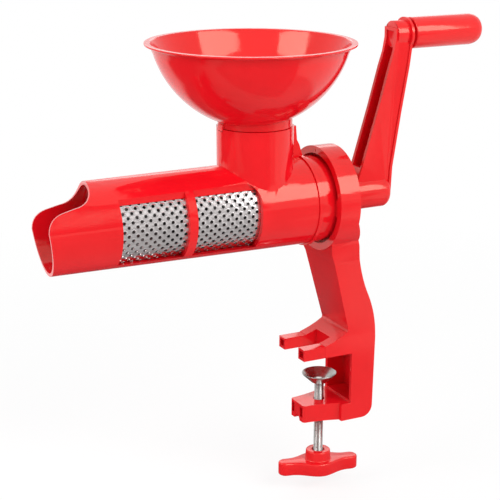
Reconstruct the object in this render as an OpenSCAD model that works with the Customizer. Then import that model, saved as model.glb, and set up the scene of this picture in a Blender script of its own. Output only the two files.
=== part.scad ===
// Hand food mill that clamps to a table edge.
// Origin: on the underside of the upper jaw, in front of the leg, where the table top seats.
// +Z is up, +X points from the spout to the crank, Y runs across the leg.

/* [Stand] */
// Height of the tube's axis above the table seat
axis_h = 131.5; // [127:0.5:140]
// Width of the leg at the jaws
leg_w = 43.4; // [41:0.2:48]
// Width of the leg under the ring
leg_top_w = 48; // [46:0.5:54]
// Thickness of the leg's walls
leg_wall = 3.4; // [2.6:0.1:4.4]
// Depth of the leg between the jaws
leg_depth = 21.5; // [19:0.5:26]
// Height of the space between the jaws
jaw_gap = 44; // [40:0.5:56]
// Reach of the upper prongs in front of the leg
prong_reach = 45.5; // [42:0.5:54]
// Width of one upper prong
prong_w = 10; // [8:0.5:11]
// Height of the upper prongs
prong_h = 9.8; // [8:0.2:12]
// Reach of the lower jaw in front of the leg
jaw_reach = 39.5; // [36:0.5:44]
// Width of the lower jaw's front
jaw_front_w = 22.4; // [21:0.2:28]
// Height of the lower jaw
jaw_h = 15; // [13:0.5:19]
// Outer radius of the ring
ring_r = 42.7; // [41.5:0.1:46]
// Width of the ring along the axis
ring_w = 18; // [17:0.5:22]
// Thickness of the ring's rear wall
ring_back = 4; // [3:0.5:5]

/* [Clamp screw] */
// Distance of the screw in front of the leg
screw_setback = 18.5; // [17:0.5:20]
// Radius of the screw
screw_r = 4; // [3.5:0.25:4.5]
// Distance from the table seat down to the cup's rim
cup_drop = 20.5; // [14:0.5:24]
// Radius of the cup's rim
cup_r = 14.7; // [12:0.1:16]
// Height of the cup
cup_h = 8.6; // [7:0.2:10]
// Thickness of the cup's sheet
cup_t = 1.2; // [1:0.1:1.6]
// Distance from the table seat down to the top of the knob's hub
knob_drop = 90.5; // [88:0.5:110]
// Half the span of the knob's wings
knob_span = 35; // [31:0.5:40]
// Thickness of the knob's wings
wing_t = 11.5; // [10:0.5:14]
// Height of the knob's hub above the wings
knob_hub_h = 8.5; // [7:0.5:12]
// Radius of the knob's hub
knob_hub_r = 10.3; // [9.5:0.1:12]

/* [Housing] */
// Outer radius of the tube at the spout's tip
tube_tip_r = 33.9; // [33.5:0.1:35]
// Outer radius of the tube at the flange
tube_root_r = 35.6; // [35:0.1:36.4]
// Radius of the tube's bore
bore_r = 31.3; // [30.8:0.1:31.8]
// Length from the flange to the spout's tip
tube_len = 222; // [214:1:236]
// Length of the open scoop in front of the tube's top
scoop_len = 38.2; // [32:0.2:44]
// Angle that the scoop's edge leans down to the far side
scoop_lean = 10.5; // [0:0.5:12]
// Angle that the spout's tip is cut back to the far side
scoop_turn = 7.4; // [0:0.2:9]
// Distance from the scoop's top edge to the first window
mouth_len = 18.5; // [12:0.5:22]
// Length of the first window
window_len = 54; // [46:1:58]
// Width of the band between the windows
band_w = 6.8; // [5:0.2:10]
// Distance from the second window to the chimney's axis
window_back = 10.8; // [9.8:0.2:15]
// Distance of the chimney's axis in front of the flange
chimney_setback = 39; // [37:0.2:45]
// Outer radius of the chimney
chimney_r = 30.5; // [29.6:0.1:31.2]
// Height of the chimney's rim above the axis
chimney_h = 64.5; // [60:0.5:72]
// Wall of the chimney
chimney_wall = 2.7; // [2.2:0.1:3.2]
// Length of the collar that shows between the flange and the ring
collar_show = 15.7; // [14:0.1:18]
// Radius of the collar
collar_r = 34; // [33:0.1:34.4]

/* [Sieve and auger] */
// Wall of the sieve's sheet
sieve_t = 0.6; // [0.4:0.1:1]
// Diameter of a sieve hole
hole_d = 2.8; // [1.8:0.1:3.4]
// Spacing of the holes along a row
hole_pitch = 14.2; // [12:0.2:18]
// Rows of holes on each side of the sieve
hole_rows = 7; // [5:1:7]
// Angle between two rows of holes
row_angle = 12.8; // [11:0.2:16]
// Radius of the auger's flight
flight_r = 29.8; // [29:0.1:30]
// Lead of the auger's flight
flight_lead = 34; // [30:1:44]
// Radius of the auger's core at the spout
core_tip_r = 16; // [13:0.5:19]
// Radius of the auger's core at the drive end
core_root_r = 11; // [10:0.5:13]

/* [Hopper] */
// Outer radius of the rim
rim_r = 82.5; // [80:0.5:90]
// Height of the rim above the chimney's rim
hopper_h = 65.5; // [60:0.5:76]
// Width of the flat lip
lip_w = 5.2; // [4:0.2:7]
// Wall of the hopper
hopper_wall = 1.8; // [1.5:0.1:2.4]
// Distance of the bowl's axis in front of the chimney's
bowl_shift = 3.8; // [0:0.2:5]
// Radius of the bowl's round outline
bowl_arc = 83.2; // [80:0.2:96]
// Depth of the neck inside the chimney
plug_len = 22; // [16:1:28]

/* [Crank] */
// Radius from the shaft to the grip
crank_r = 128.4; // [120:0.2:136]
// Radius of the hub
hub_r = 13.8; // [13:0.1:15]
// Length of the hub
hub_len = 45.5; // [42:0.5:52]
// Width of the arm across the channel
arm_w = 18; // [16:0.2:19.6]
// Wall of the arm
arm_wall = 3; // [2.4:0.1:3.6]
// Radius of the boss at the arm's top
boss_r = 10.7; // [10.2:0.1:11.2]
// Length of the arm's top boss
boss_len = 14.8; // [13:0.2:18]
// Radius of the disc behind the arm's top boss
disc_r = 13.3; // [12:0.1:14]
// Length of the grip
grip_len = 69.6; // [62:0.2:84]
// Radius of the grip
grip_r = 12.8; // [12:0.1:14]
// Radius of the drive shaft
shaft_r = 6; // [5.6:0.1:6.3]

/* [Hidden] */
$fn = 72;
red = "#e0241f";
steel = "#b9bcbf";

// Clearances between mating pieces
run_gap = 0.06;   // radial, shaft in its bearing
slip_gap = 0.3;   // radial, a piece that plugs into another
face_gap = 0.25;  // axial, between faces that turn or lift apart
set_gap = 0.05;   // round a moulded-in piece

// Stations along X
leg_x = 7.5;
leg_back_x = leg_x + leg_depth;
ring_x1 = 0;
ring_x0 = ring_x1 - ring_w;
prong_x = leg_x - prong_reach;
jaw_x = leg_x - jaw_reach;
screw_x = leg_x - screw_setback;
flange_x = ring_x0 - collar_show;
flange_t = 3;
tip_x = flange_x - tube_len;
mouth_x = tip_x + scoop_len;
window_x0 = mouth_x + mouth_len;
window_x1 = window_x0 + window_len;
window_x2 = window_x1 + band_w;
hop_x = flange_x - chimney_setback;
window_x3 = hop_x - window_back;

// Sieve, stop and auger
stop_x = window_x0 - 7;
stop_t = 3;
stop_r = flight_r + 0.5;
sieve_r = bore_r - slip_gap;
sieve_x0 = stop_x + stop_t + face_gap;
sieve_x1 = window_x3 + 10;
wall_x = ring_x0 - 9;
wall_t = 3;
tail_r = 8.8;
tail_x = ring_x0 + 6;
auger_x0 = sieve_x0 + 2;
socket_len = 34;
shaft_sq = 10;

// Ring socket, bayonet and bearing
socket_r = collar_r + slip_gap;
counter_r = socket_r + 2.5;
counter_depth = 7;
collar_x1 = ring_x1 - ring_back - 1;
lug_r = counter_r - slip_gap - 0.1;
lug_t = 3.2;
keeper_t = 2.4;
bush_r = shaft_r + 3;
bush_flange_r = bush_r + 3.5;
bush_flange_t = 1.2;
seal_r = 13;
seal_t = 3;
clip_x = ring_x1 - ring_back - 2.2;
clip_t = 1;
clip_groove = 0.8;
washer_x = ring_x1 + bush_flange_t + face_gap;
washer_t = 1;

// Crank stations
hub_x0 = washer_x + washer_t + face_gap;
hub_x1 = hub_x0 + hub_len;
shaft_x1 = hub_x1 - 8;
key_w = shaft_r * 2 - 2.4;
arm_x = hub_x1 + 2;
boss_x0 = arm_x;
boss_x1 = boss_x0 + boss_len;
pin_r = 3;
nut_x = boss_x0 + 4;
nut_t = 4.8;
head_sink = 8;
screw_len = 13;
grip_x0 = boss_x1 + 0.4;
grip_x1 = grip_x0 + grip_len;
pin_head_x = grip_x1 - head_sink;
grip_z = axis_h + crank_r;

// Clamp stations down Z
jaw_z0 = -jaw_gap - jaw_h;
nut_h = 6.5;
nut_af = 13;
nut_z = -jaw_gap - 3.5 - nut_h;
cup_z1 = -cup_drop;
cup_z0 = cup_z1 - cup_h;
neck_r = screw_r - 1.4;
knob_z1 = -knob_drop;
wing_z1 = knob_z1 - knob_hub_h;
wing_z0 = wing_z1 - wing_t;
bolt_head_h = 5.3;

// Hopper stations up Z
bowl_x = hop_x - bowl_shift;
chimney_z = axis_h + chimney_h;
chimney_bore = chimney_r - chimney_wall;
rim_z = chimney_z + hopper_h;
lip_t = 2;
plug_r = chimney_bore - slip_gap;
throat_r = plug_r - hopper_wall - 0.3;
shoulder_z = chimney_z + face_gap;
shoulder_r = chimney_r - 1.2;
bowl_z = shoulder_z + 4;
ear_w = 9;
ear_drop = 2;
ear_h = 5.2;

// ---- shared geometry ----

// A slab of width w across Y whose side view is the 2D shape in X and Z
module slab(w) { rotate([90, 0, 0]) linear_extrude(w, center = true) children(); }

// A prism from x0 to x1 whose end view is the 2D shape in Y and Z
module prism_x(x0, x1) { translate([x0, 0, 0]) rotate([90, 0, 90]) linear_extrude(x1 - x0) children(); }

// A solid turned about the tube's axis from a profile of [radius, x] points
module turned(points) { translate([0, 0, axis_h]) rotate([0, 90, 0]) rotate_extrude() polygon(points); }

// A round bar along X, at the tube's axis unless z is given
module bar_x(x0, x1, r, z = axis_h) { translate([x0, 0, z]) rotate([0, 90, 0]) cylinder(h = x1 - x0, r = r); }

// A tube along X
module pipe_x(x0, x1, r0, r1, z = axis_h) {
    difference() {
        bar_x(x0, x1, r1, z);
        bar_x(x0 - 1, x1 + 1, r0, z);
    }
}

// A piece of a ring about the tube's axis, from a0 to a1 degrees above the -Y side
module ring_piece(x0, x1, r0, r1, a0, a1) {
    translate([0, 0, axis_h]) rotate([0, 90, 0]) rotate([0, 0, -90 - a1])
        rotate_extrude(angle = a1 - a0) translate([r0, x0]) square([r1 - r0, x1 - x0]);
}

// A hexagonal bar along X at height z, af across its flats
module hex_x(x0, x1, af, z) {
    translate([x0, 0, z]) rotate([0, 90, 0]) cylinder(h = x1 - x0, r = af / 2 / cos(30), $fn = 6);
}

// The round section with two flats that keys the crank to its shaft
module keyed_bar(x0, x1, gap) {
    intersection() {
        bar_x(x0, x1, shaft_r + gap);
        translate([x0, -key_w / 2 - gap, axis_h - 20]) cube([x1 - x0, key_w + 2 * gap, 40]);
    }
}

// Points of a curve that leaves a towards b and arrives at c from b
function bend(a, b, c, n = 8) = [for (i = [0:n]) let (t = i / n)
    (1 - t) * (1 - t) * a + 2 * t * (1 - t) * b + t * t * c];

// Points of a round arc
function arc(cx, cy, r, a0, a1, n = 8) = [for (i = [0:n]) let (a = a0 + (a1 - a0) * i / n)
    [cx + r * cos(a), cy + r * sin(a)]];

function mirrored(points) = [for (i = [len(points) - 1:-1:0]) [points[i][0], -points[i][1]]];

// ---- stand ----

module leg_side() {
    polygon(concat(
        [[ring_x0 + 0.5, axis_h - 10], [ring_x0 + 0.5, axis_h - 30], [ring_x0 + 2.5, axis_h - 43],
            [ring_x0 + 5.8, axis_h - 51], [leg_x - 4, 21.5]],
        bend([leg_x - 4.6, 19.5], [leg_x - 15, prong_h + 3.4], [leg_x - 27, prong_h]),
        [[leg_x - 27, 0], [leg_x, 0], [leg_x, -jaw_gap], [leg_x - 9, -jaw_gap], [leg_x - 9, jaw_z0]],
        arc(leg_back_x - 10.5, jaw_z0 + 10, 10, -90, 0),
        [[leg_back_x + 1, 10]],
        bend([leg_back_x + 1, 12], [leg_back_x + 0.6, 32], [leg_back_x - 8, 50.5]),
        bend([leg_back_x - 8, 50.5], [leg_back_x - 16.5, 68.5], [leg_back_x - 19.5, axis_h - 37.5]),
        bend([leg_back_x - 19.5, axis_h - 37.5], [ring_x1 + 6.4, axis_h - 27], [ring_x1, axis_h - 14])));
}

module leg_front(inset) {
    half = concat([for (d = [10:2:32]) [axis_h - d, sqrt(pow(ring_r - 0.4, 2) - d * d)]],
        [[axis_h - 37, leg_top_w / 2 + 2.6], [axis_h - 50, leg_top_w / 2 + 0.3], [16, leg_w / 2],
            [jaw_z0, leg_w / 2]]);
    polygon(concat([for (p = half) [p[1] - inset, p[0]]],
        [for (i = [len(half) - 1:-1:0]) [inset - half[i][1], half[i][0]]]));
}

// Space behind the leg's front web, open to the rear
module rear_channel() {
    intersection() {
        slab(leg_top_w) polygon([[ring_x0 + 6 + leg_wall, axis_h - ring_r - 5], [leg_x - 11.3 + leg_wall, 49],
            [leg_x - 4 + leg_wall, 21.5], [leg_x + leg_wall, 3.4], [leg_back_x + 9, 3.4],
            [leg_back_x + 9, axis_h - ring_r - 5]]);
        prism_x(ring_x0, leg_back_x + 9) leg_front(leg_wall);
    }
}

// Space between the jaws inside the leg, open to the front
module front_channel() {
    translate([leg_x - 1, leg_wall - leg_w / 2, -jaw_gap + 1.5])
        cube([leg_depth - leg_wall, leg_w - 2 * leg_wall, jaw_gap - 4]);
}

module upper_prongs() {
    prong_y = leg_w / 2 - 0.2 - prong_w / 2;
    for (side = [-1, 1]) difference() {
        translate([prong_x, side * prong_y - prong_w / 2, 0]) cube([prong_reach - 5, prong_w, prong_h]);
        translate([prong_x - 1, side * prong_y - prong_w / 2 + 2, 2]) cube([26, prong_w - 4, prong_h - 4]);
    }
}

// The gap between the prongs, cut out of the brace
module fork_gap() {
    fork_w = leg_w - 0.4 - 2 * prong_w;
    translate([prong_x - 1, -fork_w / 2, -1]) cube([prong_reach - 15.5 + 1, fork_w, prong_h + 22]);
}

module lower_jaw() {
    half = concat([[jaw_x, jaw_front_w / 2 - 1.5], [jaw_x + 1.5, jaw_front_w / 2]],
        bend([jaw_x + 4, jaw_front_w / 2 + 0.2], [leg_x - 20, jaw_front_w / 2 + 1.5],
            [leg_x + 1, leg_w / 2 - 0.2]));
    difference() {
        translate([0, 0, jaw_z0]) linear_extrude(jaw_h) polygon(concat(half, mirrored(half)));
        for (side = [-1, 1]) translate([jaw_x - 1, side * (jaw_front_w / 2 - 4.4) - 2.1, jaw_z0 + 4])
            cube([12, 4.2, jaw_h - 6.2]);
        bar_x(jaw_x - 1, jaw_x + 10, 4.2, jaw_z0);
    }
}

module ring_body() {
    difference() {
        union() {
            bar_x(ring_x0, ring_x1, ring_r);
            intersection() {
                slab(90) leg_side();
                prism_x(ring_x0, leg_back_x + 3) leg_front(0);
            }
        }
        rear_channel();
        front_channel();
        fork_gap();
    }
}

module stand_frame() {
    color(red) difference() {
        union() {
            ring_body();
            upper_prongs();
            lower_jaw();
        }
        bar_x(ring_x0 - 1, ring_x0 + counter_depth, counter_r);
        bar_x(ring_x0 - 1, ring_x1 - ring_back, socket_r);
        bar_x(ring_x0 - 1, ring_x1 + 1, bush_r);
        translate([screw_x, 0, jaw_z0 - 1]) cylinder(h = jaw_h + 2, r = screw_r + 0.6);
        translate([screw_x, 0, nut_z - set_gap])
            cylinder(h = nut_h + 2 * set_gap, r = (nut_af / 2 + set_gap) / cos(30), $fn = 6);
        translate([ring_x0 - 1, -0.35, axis_h + counter_r + 1.6]) cube([1.5, 0.7, 2.6]);
    }
    color(red) for (a = [0, 180]) {
        ring_piece(ring_x0, ring_x0 + keeper_t, socket_r, counter_r + 0.5, a - 13, a + 9.5);
        ring_piece(ring_x0 + 1, ring_x0 + counter_depth + 0.5, socket_r + 0.4, counter_r + 0.8, a + 8, a + 12.5);
    }
}

module clamp_nut() {
    color(steel) translate([screw_x, 0, nut_z]) difference() {
        cylinder(h = nut_h, r = nut_af / 2 / cos(30), $fn = 6);
        translate([0, 0, -1]) cylinder(h = nut_h + 2, r = screw_r + run_gap);
    }
}

module shaft_bush() {
    color("ivory") difference() {
        turned([[0, clip_x + clip_t + face_gap], [bush_r - set_gap, clip_x + clip_t + face_gap],
            [bush_r - set_gap, ring_x1 + set_gap], [bush_flange_r, ring_x1 + set_gap],
            [bush_flange_r, ring_x1 + bush_flange_t], [0, ring_x1 + bush_flange_t]]);
        bar_x(clip_x - 1, ring_x1 + 9, shaft_r + run_gap);
    }
}

module thrust_washer() { color("ivory") pipe_x(washer_x, washer_x + washer_t, shaft_r + run_gap, hub_r - 1.5); }

// ---- housing ----

// What the scoop cut takes away, in front of and above the spout's curved edge. Its side view is
// drawn at the tube's near side and runs across the tube on a slant.
module scoop_cut() {
    translate([tip_x, 3 - tube_tip_r, axis_h]) rotate([-scoop_lean, 0, -scoop_turn]) slab(200) polygon(concat(
        [[-12, tube_tip_r + 30], [scoop_len - 1.6, tube_tip_r + 30]],
        bend([scoop_len - 1.6, 38], [scoop_len - 2.6, 24.4], [scoop_len - 16.2, 22.6]),
        bend([12, 20], [1.2, 17], [0.4, 6.2]),
        [[1.3, -0.6], [4, -21], [5.6, -34], [7.6, -60], [-12, -60]]));
}

// One window on both sides: a flat cut across the top, a ledge at the bottom rail
module window(x0, x1, corner) {
    chord = 24.6;
    inner = sqrt(bore_r * bore_r - chord * chord);
    outer_z = sqrt(pow(tube_root_r, 2) - chord * chord);
    rail_z = axis_h - 27.5;
    for (side = [-1, 1]) {
        slab_y = side * (chord + 10);
        translate([0, slab_y, 0]) slab(20) polygon(concat([[x0, rail_z], [x1, rail_z]],
            arc(x1 - corner, axis_h + outer_z - corner, corner, 0, 90), [[x0, axis_h + outer_z]]));
        translate([0, side * 20, 0]) slab(20) polygon(concat([[x0, rail_z], [x1, rail_z]],
            arc(x1 - corner, axis_h + inner - corner, corner, 0, 90), [[x0, axis_h + inner]]));
    }
}

module gusset() {
    slab(4) polygon([[hop_x + 10, chimney_z - 3], [flange_x - 3.4, chimney_z - 3], [flange_x - 2.4, axis_h + 50],
        [flange_x - 0.2, axis_h + 46], [flange_x + flange_t, axis_h + tube_root_r], [hop_x + 10, axis_h + 33]]);
}

module housing_outside() {
    turned([[0, tip_x], [tube_tip_r, tip_x], [tube_root_r, flange_x], [tube_root_r + 1.2, flange_x],
        [tube_root_r + 1.2, flange_x + flange_t], [collar_r + 0.8, flange_x + flange_t],
        [collar_r + 0.8, ring_x0 - 2], [collar_r, ring_x0 - 2], [collar_r, collar_x1], [0, collar_x1]]);
    translate([hop_x, 0, axis_h]) cylinder(h = chimney_h, r1 = chimney_r - 0.5, r2 = chimney_r);
    gusset();
    for (a = [0, 180])
        ring_piece(ring_x0 + keeper_t + face_gap, ring_x0 + keeper_t + face_gap + lug_t,
            collar_r - 1, lug_r, a - 11, a + 7);
}

module housing() {
    seal_seat = wall_x + wall_t;
    color(red) difference() {
        housing_outside();
        bar_x(tip_x - 1, stop_x, bore_r);
        bar_x(stop_x - 1, stop_x + stop_t + 1, stop_r);
        bar_x(stop_x + stop_t, wall_x, bore_r);
        bar_x(wall_x - 1, seal_seat + 1, tail_r + slip_gap);
        bar_x(seal_seat, seal_seat + seal_t + 1, seal_r + set_gap);
        pipe_x(seal_seat, collar_x1 + 1, seal_r + 2.6, collar_r - 2.6);
        bar_x(seal_seat + seal_t + 0.9, collar_x1 + 1, collar_r - 2.6);
        translate([hop_x, 0, axis_h]) cylinder(h = chimney_h + 1, r = chimney_bore);
        for (side = [0, 180]) translate([hop_x, 0, 0]) rotate([0, 0, side])
            translate([chimney_bore - 2, -ear_w / 2 - slip_gap, chimney_z - ear_drop])
                cube([chimney_wall + 4, ear_w + 2 * slip_gap, ear_drop + 1]);
        scoop_cut();
        window(window_x0, window_x1, 1.5);
        window(window_x2, window_x3, 13);
    }
}

module sieve_cylinder() {
    holes = floor((sieve_x1 - sieve_x0 - 10) / hole_pitch);
    color(steel) difference() {
        pipe_x(sieve_x0, sieve_x1, sieve_r - sieve_t, sieve_r);
        for (k = [0:hole_rows - 1]) for (i = [0:holes - 1])
            translate([sieve_x0 + 4 + (i + (k % 2) / 2) * hole_pitch, 0, axis_h])
                rotate([90 + (k - (hole_rows - 1) / 2) * row_angle, 0, 0])
                    cylinder(h = 3 * bore_r, r = hole_d / 2, center = true);
        translate([hop_x, 0, axis_h]) cylinder(h = bore_r + 1, r = chimney_bore + 0.5);
    }
}

module shaft_seal() {
    color("dimgray") pipe_x(wall_x + wall_t + set_gap, wall_x + wall_t + seal_t, tail_r + run_gap, seal_r);
}

// ---- hopper ----

// Centre of an arc of radius r from p to q, on its upper left
function arc_centre(p, q, r) = let (m = (p + q) / 2, d = q - p, half = norm(d) / 2,
    n = [-d[1], d[0]] / norm(d)) m + n * sqrt(r * r - half * half);

module hopper() {
    top = [rim_r - lip_w, rim_z - lip_t];
    foot = [shoulder_r - bowl_shift, bowl_z];
    c = arc_centre(foot, top, bowl_arc);
    a_top = atan2(top[1] - c[1], top[0] - c[0]);
    a_foot = atan2(foot[1] - c[1], foot[0] - c[0]);
    inner_r = bowl_arc - hopper_wall;
    a_low = atan2(bowl_z - 4 - c[1], 14 - c[0]);
    outside = concat([[0, rim_z], [rim_r, rim_z], [rim_r, rim_z - lip_t]],
        arc(c[0], c[1], bowl_arc, a_top, a_foot, 24), [[0, bowl_z]]);
    inside = concat([[0, c[1] + inner_r * sin(a_low)]],
        arc(c[0], c[1], inner_r, a_low, asin((rim_z + 1 - c[1]) / inner_r), 24), [[0, rim_z + 1]]);
    neck_z = chimney_z - plug_len;
    color(red) {
        difference() {
            union() {
                translate([bowl_x, 0, 0]) rotate_extrude($fn = 120) polygon(outside);
                translate([hop_x, 0, shoulder_z]) cylinder(h = bowl_z + 5 - shoulder_z, r = shoulder_r);
                translate([hop_x, 0, neck_z]) cylinder(h = shoulder_z + 1 - neck_z, r = plug_r);
            }
            translate([bowl_x, 0, 0]) rotate_extrude($fn = 120) polygon(inside);
            translate([hop_x, 0, neck_z - 1]) cylinder(h = bowl_z + 20 - neck_z, r = throat_r);
        }
        for (side = [0, 180]) translate([hop_x, 0, 0]) rotate([0, 0, side])
            translate([throat_r + 0.6, -ear_w / 2, chimney_z - ear_drop + face_gap])
                cube([chimney_r - throat_r - 0.6, ear_w, ear_h]);
    }
}

// ---- auger and drive ----

// A point at radius r and angle a on the auger's helix, at station x
function helix_point(r, a, x) = [x, -r * cos(a), axis_h + r * sin(a)];

// The flight's tapered rib wound round the core, left-handed so that the crank feeds the spout
module flight(x0, x1) {
    steps = 24;
    n = ceil((x1 - x0) / flight_lead * steps);
    foot = 3.2;
    edge = 1.5;
    points = [for (i = [0:n]) let (x = x0 + (x1 - x0) * i / n, a = (x - x0) / flight_lead * 360)
        each [helix_point(core_root_r - 2, a, x - foot), helix_point(flight_r, a, x - edge),
            helix_point(flight_r, a, x + edge), helix_point(core_root_r - 2, a, x + foot)]];
    faces = concat([[0, 1, 2, 3]], [[4 * n + 3, 4 * n + 2, 4 * n + 1, 4 * n]],
        [for (i = [0:n - 1]) for (j = [0:3]) let (a = 4 * i + j, b = 4 * i + (j + 1) % 4)
            each [[a, a + 4, b], [b, a + 4, b + 4]]]);
    polyhedron(points = points, faces = faces);
}

module auger() {
    flight_x1 = wall_x - 5;
    color("ivory") difference() {
        union() {
            turned([[0, auger_x0], [core_tip_r - 2, auger_x0], [core_tip_r, auger_x0 + 2],
                [core_root_r, wall_x - 1], [tail_r, wall_x - 1], [tail_r, tail_x], [0, tail_x]]);
            flight(auger_x0 + 5, flight_x1);
        }
        translate([tail_x - socket_len, -shaft_sq / 2 - set_gap, axis_h - shaft_sq / 2 - set_gap])
            cube([socket_len + 1, shaft_sq + 2 * set_gap, shaft_sq + 2 * set_gap]);
    }
}

module drive_shaft() {
    color(steel) difference() {
        union() {
            translate([tail_x - socket_len + 0.5, -shaft_sq / 2, axis_h - shaft_sq / 2])
                cube([socket_len + 0.5, shaft_sq, shaft_sq]);
            bar_x(tail_x, hub_x0 + 5, shaft_r);
            keyed_bar(hub_x0 + 4.5, shaft_x1, 0);
        }
        pipe_x(clip_x, clip_x + clip_t, shaft_r - clip_groove, shaft_r + 2);
        bar_x(shaft_x1 - screw_len - 1, shaft_x1 + 1, 2.5);
    }
}

module retaining_clip() {
    color(steel) difference() {
        pipe_x(clip_x + 0.1, clip_x + clip_t - 0.1, shaft_r - clip_groove + set_gap, shaft_r + 2.4);
        translate([clip_x - 1, -2, axis_h]) cube([clip_t + 2, 4, shaft_r + 5]);
    }
}

// ---- crank ----

module arm_side() {
    polygon([[arm_x - 34, axis_h + 8], [arm_x - 28.5, axis_h + 25], [arm_x - 14.9, axis_h + 70],
        [boss_x0 - 6, grip_z - 26.5], [boss_x0 - 2, grip_z - 14], [boss_x0, grip_z - 3], [boss_x0, grip_z + 5.6],
        [boss_x1, grip_z + 5.6], [boss_x1, grip_z - 10], [boss_x1 - 2, grip_z - 25],
        [arm_x + 6, axis_h + 65], [arm_x - 1, axis_h + 21], [arm_x - 2, axis_h + 8]]);
}

// The channel that opens to the front, between the arm's two walls
module arm_channel() {
    polygon([[arm_x - 40, axis_h + 22], [arm_x - 13, axis_h + 22], [arm_x - 7.5, axis_h + 30],
        [arm_x - 5, axis_h + 70], [boss_x0 + 7.5, grip_z - boss_r - 4], [boss_x0 + 1.6, grip_z - boss_r + 3],
        [boss_x0 + 1.6, grip_z + 3], [boss_x0 - 40, grip_z + 3]]);
}

module arm_back() {
    lip = 2.2;
    polygon([[arm_x - 2 - lip, axis_h], [arm_x - 1 - lip, axis_h + 21], [arm_x + 6 - lip, axis_h + 65],
        [boss_x1 - 2 - lip, grip_z - 25], [boss_x1 - lip, grip_z - 10], [boss_x1 - lip, grip_z],
        [boss_x1, grip_z], [boss_x1, grip_z - 10], [boss_x1 - 2, grip_z - 25],
        [arm_x + 6, axis_h + 65], [arm_x - 1, axis_h + 21], [arm_x - 2, axis_h]]);
}

module crank_arm() {
    round_r = 5;
    color(red) difference() {
        union() {
            turned(concat([[0, hub_x0], [hub_r - 0.6, hub_x0], [hub_r, hub_x0 + 0.6]],
                arc(hub_r - round_r, hub_x1 - round_r, round_r, 0, 90), [[0, hub_x1]]));
            difference() {
                slab(arm_w) arm_side();
                slab(arm_w - 2 * arm_wall) arm_channel();
                bar_x(hub_x0, hub_x1, shaft_r + 3);
            }
            slab(arm_w + 2.4) arm_back();
            bar_x(boss_x0 + 1.5, boss_x1, boss_r, grip_z);
            bar_x(boss_x1 - 2.2, boss_x1, disc_r, grip_z);
        }
        bar_x(hub_x0 - 1, hub_x0 + 5.5, shaft_r + set_gap);
        keyed_bar(hub_x0 + 5, shaft_x1 + 0.5, set_gap);
        bar_x(shaft_x1, hub_x1 + 1, 2.9);
        bar_x(hub_x1 - 4.5, hub_x1 + 1, 6.4);
        bar_x(nut_x - 0.6, boss_x1 + 1, pin_r + set_gap, grip_z);
        hex_x(nut_x - set_gap, nut_x + nut_t + set_gap, 10 + 2 * set_gap, grip_z);
    }
}

module crank_washer() { color(steel) pipe_x(hub_x1 - 4.45, hub_x1 - 3.6, 2.7, 6.1); }

module crank_screw() {
    color(steel) union() {
        bar_x(shaft_x1 - screw_len, hub_x1 - 3, 2.44);
        bar_x(hub_x1 - 3.55, hub_x1 - 0.8, 4.6);
    }
}

module grip_pin() {
    color(steel) union() {
        bar_x(nut_x - 0.5, pin_head_x, pin_r, grip_z);
        bar_x(pin_head_x, pin_head_x + 3.8, 5.2, grip_z);
    }
}

module grip_nut() {
    color(steel) difference() {
        hex_x(nut_x, nut_x + nut_t, 10, grip_z);
        bar_x(nut_x - 1, nut_x + nut_t + 1, pin_r + set_gap, grip_z);
    }
}

module grip_washer() {
    color(steel) pipe_x(pin_head_x - 1.1, pin_head_x - 0.1, pin_r + run_gap, 6.4, grip_z);
}

module grip_handle() {
    round_r = 8.5;
    end_r = grip_r - 0.6;
    color(red) difference() {
        translate([0, 0, crank_r]) turned(concat([[0, grip_x0], [grip_r - 4, grip_x0],
            [grip_r - 4, grip_x0 + 2], [grip_r - 0.4, grip_x0 + 3], [grip_r, grip_x0 + 3.6]],
            arc(end_r - round_r, grip_x1 - round_r, round_r, 0, 90), [[0, grip_x1]]));
        bar_x(grip_x0 - 1, grip_x1, pin_r + run_gap, grip_z);
        bar_x(pin_head_x - 1.3, grip_x1 + 1, 6.8, grip_z);
    }
}

// ---- clamp screw ----

module cup_profile() {
    throat = neck_r + run_gap;
    foot = screw_r + 2.5;
    polygon([[throat, cup_z0], [foot, cup_z0], [cup_r - 0.8, cup_z1 - 1.8], [cup_r, cup_z1 - 0.9],
        [cup_r, cup_z1], [cup_r - 1.4, cup_z1 - cup_t], [foot - 0.6, cup_z0 + cup_t], [throat, cup_z0 + cup_t]]);
}

module clamp_cup() { color(steel) translate([screw_x, 0, 0]) rotate_extrude() cup_profile(); }

module clamp_screw() {
    color(steel) translate([screw_x, 0, 0]) {
        translate([0, 0, wing_z0 + 3]) cylinder(h = cup_z0 - run_gap - wing_z0 - 3, r = screw_r);
        translate([0, 0, cup_z0 - 1]) cylinder(h = cup_t + 3.2, r = neck_r);
        translate([0, 0, cup_z0 + cup_t + 1.3]) cylinder(h = 1.2, r1 = neck_r + 1, r2 = neck_r);
        translate([0, 0, wing_z0 + 3]) cylinder(h = bolt_head_h, r = 6.5 / cos(30), $fn = 6);
    }
}

module cup_washer() {
    color(steel) translate([screw_x, 0, cup_z0 + cup_t + run_gap]) difference() {
        cylinder(h = 1.1, r = neck_r + 2.6);
        translate([0, 0, -1]) cylinder(h = 4, r = neck_r + run_gap);
    }
}

// Plan of the knob: a round middle that narrows into two wings with round ends
module knob_plan() {
    wing_w = 6.2;
    middle = 15;
    waist_x = knob_span - 10;
    side = [for (i = [-14:14]) let (x = i * (knob_span - wing_w) / 14, t = min(abs(x) / waist_x, 1))
        [x, wing_w + (middle - wing_w) * (0.5 + 0.5 * cos(180 * t))]];
    polygon(concat(side, mirrored(side)));
    for (end = [-1, 1]) translate([end * (knob_span - wing_w), 0]) circle(r = wing_w);
}

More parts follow.
